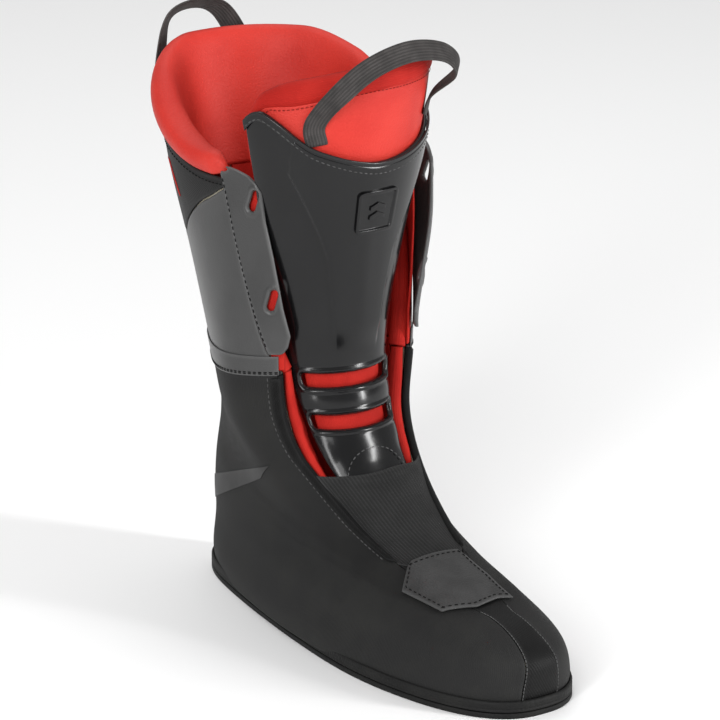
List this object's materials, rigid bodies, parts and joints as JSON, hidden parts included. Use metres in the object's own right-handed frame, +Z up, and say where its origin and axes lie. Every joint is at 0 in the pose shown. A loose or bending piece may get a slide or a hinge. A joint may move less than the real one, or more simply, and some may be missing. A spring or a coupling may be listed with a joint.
{
  "type": "alpine ski boot liner",
  "caption": "Removable padded inner boot for a hard ski boot shell, with a hinged moulded tongue, side flaps, a padded collar and pull loops.",
  "frame": {"origin": "on the ground, on the bottom face of the sole, under the middle of the foot", "axes": "+Z up, toe along -Y, heel along +Y, medial side of a right foot along +X"},
  "size_m": [0.1249, 0.3282, 0.3324],
  "materials": {
    "rubber": "ribbed matt black rubber",
    "board": "pale fibre board",
    "footbed": "dark knitted cover on foam",
    "neoprene": "matt black stretch knit bonded to foam",
    "foam": "cream closed cell foam",
    "toe_strip": "satin black rubberised strip",
    "elastic": "woven black elastic",
    "patch": "smooth dark grey synthetic leather",
    "binding": "stitched black tape",
    "lining": "soft red lining fabric",
    "film": "thin grey film bonded to the fabric",
    "cuff": "smooth coated dark grey synthetic",
    "yoke": "printed dark grey fabric",
    "flap": "moulded dark grey synthetic",
    "collar": "smooth red synthetic leather",
    "tongue_shell": "satin moulded black plastic",
    "webbing": "ribbed grey and black webbing"
  },
  "bodies": {
    "liner": {"outsole": "rubber", "sole_rand": "rubber", "lasting_board": "board", "footbed": "footbed", "foot_panel_left": "neoprene", "foot_foam_left": "foam", "ankle_pad_left": "foam", "foot_panel_right": "neoprene", "foot_foam_right": "foam", "ankle_pad_right": "foam", "toe_strip": "toe_strip", "toe_foam": "foam", "toe_lining": "lining", "instep_elastic": "elastic", "toe_patch": "patch", "throat_binding_left": "binding", "throat_roll_left": "lining", "throat_binding_right": "binding", "throat_roll_right": "lining", "heel_film_left": "film", "heel_film_right": "film", "cuff_panel_left": "cuff", "cuff_foam_left": "foam", "cuff_lining_left": "lining", "foot_lining_left": "lining", "cuff_panel_right": "cuff", "cuff_foam_right": "foam", "cuff_lining_right": "lining", "foot_lining_right": "lining", "cuff_yoke": "yoke", "ankle_band": "cuff", "flap_backing_left": "lining", "flap_backing_right": "lining", "collar": "collar", "tongue_root": "patch"},
    "tongue": {"tongue_shell": "tongue_shell", "tongue_lip_tape": "binding", "badge": "tongue_shell", "tongue_face": "collar", "tongue_pad": "lining", "tongue_top_roll": "lining"},
    "flap_left": {"flap_left": "flap"},
    "flap_right": {"flap_right": "flap"},
    "tongue_loop": {"tongue_loop": "webbing"},
    "rear_loop": {"rear_loop": "webbing"}
  },
  "joints": [
    {"name": "tongue_tilt", "type": "hinge", "parent": "liner", "child": "tongue", "pos_m": [0, -0.009, 0.084], "axis": [1, 0, 0], "range_deg": [0, 30], "stiffness_Nm_per_rad": 1, "deforming": ["instep_elastic"]},
    {"name": "left_flap_fold", "type": "hinge", "parent": "liner", "child": "flap_left", "pos_m": [-0.0542, 0.0481, 0.2002], "axis": [0.1011, -0.2851, -0.9531], "range_deg": [0, 50], "stiffness_Nm_per_rad": 0.02},
    {"name": "right_flap_fold", "type": "hinge", "parent": "liner", "child": "flap_right", "pos_m": [0.0542, 0.0481, 0.2002], "axis": [0.1011, 0.2851, 0.9531], "range_deg": [0, 50], "stiffness_Nm_per_rad": 0.02},
    {"name": "tongue_loop_swing", "type": "hinge", "parent": "tongue", "child": "tongue_loop", "pos_m": [0.0045, 0.0109, 0.2792], "axis": [0.9949, 0.1006, -0.0068], "range_deg": [0, 80], "stiffness_Nm_per_rad": 0.01},
    {"name": "rear_loop_swing", "type": "hinge", "parent": "liner", "child": "rear_loop", "pos_m": [0, 0.1668, 0.2716], "axis": [-1, 0, 0], "range_deg": [0, 100], "stiffness_Nm_per_rad": 0.01}
  ]
}
